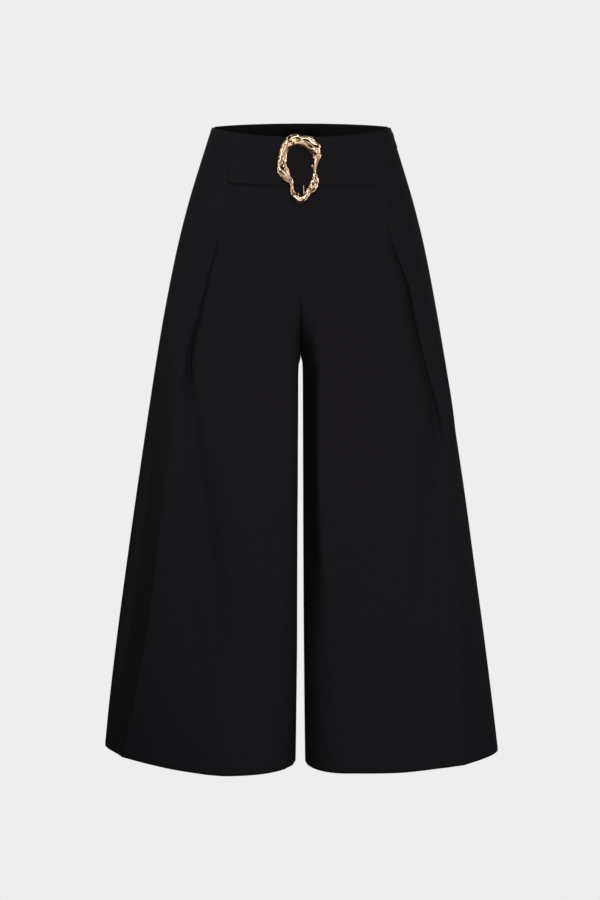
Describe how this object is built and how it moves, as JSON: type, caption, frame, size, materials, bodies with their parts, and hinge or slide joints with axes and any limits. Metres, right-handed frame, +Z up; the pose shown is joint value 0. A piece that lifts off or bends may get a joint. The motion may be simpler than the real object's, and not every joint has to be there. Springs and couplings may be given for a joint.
{
  "type": "wide-leg cropped trousers",
  "caption": "High-waisted wide-leg cropped trousers with pressed front pleats, a wide belt panel and a cast ring buckle, standing open as if worn.",
  "frame": {"origin": "middle of the waist opening, level with the highest point of its edge, where the trousers are held", "axes": "+Z up, out of the waist; the front faces -Y; the wearer's left leg is at +X"},
  "size_m": [0.5465, 0.2442, 0.862],
  "materials": {
    "suiting": "fine smooth suiting, near black, with a soft sheen",
    "label_satin": "satin woven ribbon, black, bare",
    "pale_gold": "pale gold plate over a hammered casting, polished",
    "zip_tape": "woven tape, black",
    "black_enamel": "black enamel"
  },
  "bodies": {
    "trousers": {"front_left": "suiting", "front_right": "suiting", "back_left": "suiting", "back_right": "suiting", "belt_panel": "suiting", "label": "label_satin", "buckle": "pale_gold", "zip_tape": "zip_tape", "zip_slider": "black_enamel"},
    "pull_tab": {"zip_pull": "black_enamel"}
  },
  "joints": [
    {"name": "pull_tab_hinge", "type": "hinge", "parent": "trousers", "child": "pull_tab", "pos_m": [0.1238, 0.0262, -0.01341], "axis": [0.2426, -0.965, 0.099], "range_deg": [0, 165]}
  ]
}
